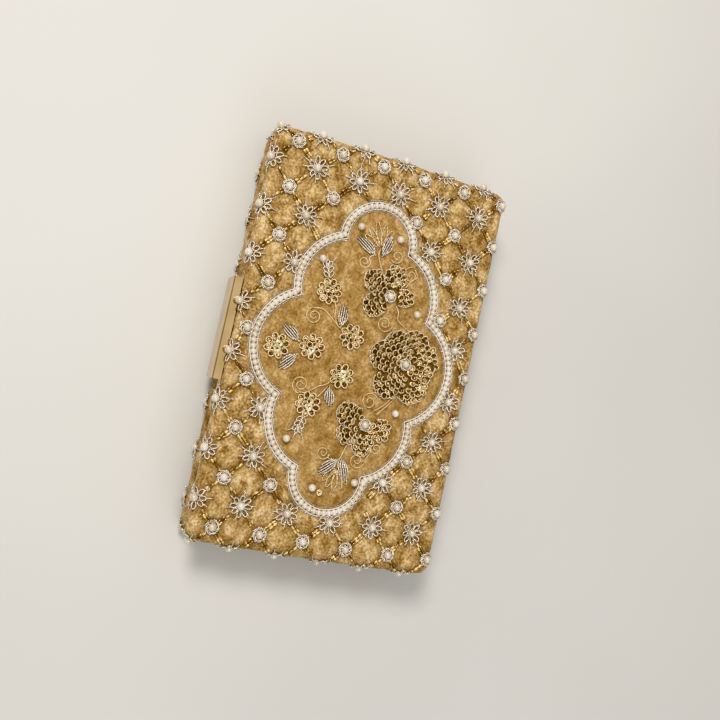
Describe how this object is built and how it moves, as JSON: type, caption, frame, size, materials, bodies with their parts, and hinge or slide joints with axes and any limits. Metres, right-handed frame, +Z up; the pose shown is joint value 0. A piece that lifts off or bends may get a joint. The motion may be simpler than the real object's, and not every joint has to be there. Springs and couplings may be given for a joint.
{
  "type": "box clutch purse",
  "caption": "Slim hard box clutch covered in beaded velvet, with polished metal rims, two hinges along one long side, a bar clasp with a press lever, and a satin-lined cavity.",
  "frame": {"origin": "middle of the overall footprint, on the surface that the purse lies on, under its back cover", "axes": "+X along the purse, towards the left end as seen from the front with the clasp uppermost; -Y towards the clasp and +Y towards the hinges; +Z up, out of the decorated front cover"},
  "size_m": [0.2, 0.1306, 0.0344],
  "materials": {
    "velvet": "crushed velvet, champagne gold",
    "wadding": "polyester wadding",
    "shell": "moulded case shell",
    "lining": "satin",
    "gold_metal": "polished pale gold plating",
    "steel": "plain bright steel",
    "pearls": "pearl lustre beads",
    "silver_wire": "silver metallic cord and bullion wire",
    "gold_work": "antique gold sequins, beads and metallic thread"
  },
  "bodies": {
    "back_half": {"back_shell": "shell", "back_rim": "gold_metal", "back_lining": "lining", "back_wadding": "wadding", "back_velvet": "velvet", "back_bead_net": "pearls", "hinge_left_back_leaf": "gold_metal", "hinge_right_back_leaf": "gold_metal", "hinge_left_pin": "steel", "hinge_right_pin": "steel", "clasp_base": "steel", "clasp_pin": "steel", "clasp_spring": "steel", "clasp_rivet_back_left": "steel", "clasp_rivet_back_right": "steel"},
    "front_half": {"front_shell": "shell", "front_rim": "gold_metal", "front_lining": "lining", "front_wadding": "wadding", "front_velvet": "velvet", "front_bead_net": "pearls", "medallion_border": "silver_wire", "center_flower": "gold_work", "side_flower_left": "gold_work", "side_flower_right": "gold_work", "small_flower_1": "gold_work", "small_flower_2": "gold_work", "small_flower_3": "gold_work", "small_flower_4": "gold_work", "small_flower_5": "gold_work", "small_flower_6": "gold_work", "vine_left": "silver_wire", "vine_right": "silver_wire", "end_spray_left": "silver_wire", "end_spray_right": "silver_wire", "hinge_left_front_leaf": "gold_metal", "hinge_right_front_leaf": "gold_metal", "clasp_catch_cap": "gold_metal", "clasp_hook": "steel", "clasp_rivet_front_left": "steel", "clasp_rivet_front_right": "steel"},
    "clasp_lever": {"clasp_lever": "gold_metal"}
  },
  "joints": [
    {"name": "lid_open", "type": "hinge", "parent": "back_half", "child": "front_half", "pos_m": [0, 0.06407, 0.0172], "axis": [-1, 0, 0], "range_deg": [0, 90]},
    {"name": "lever_press", "type": "hinge", "parent": "back_half", "child": "clasp_lever", "pos_m": [0, -0.06232, 0.0124], "axis": [1, 0, 0], "range_deg": [0, 8], "stiffness_Nm_per_rad": 0.02, "springref_deg": -17.19}
  ]
}
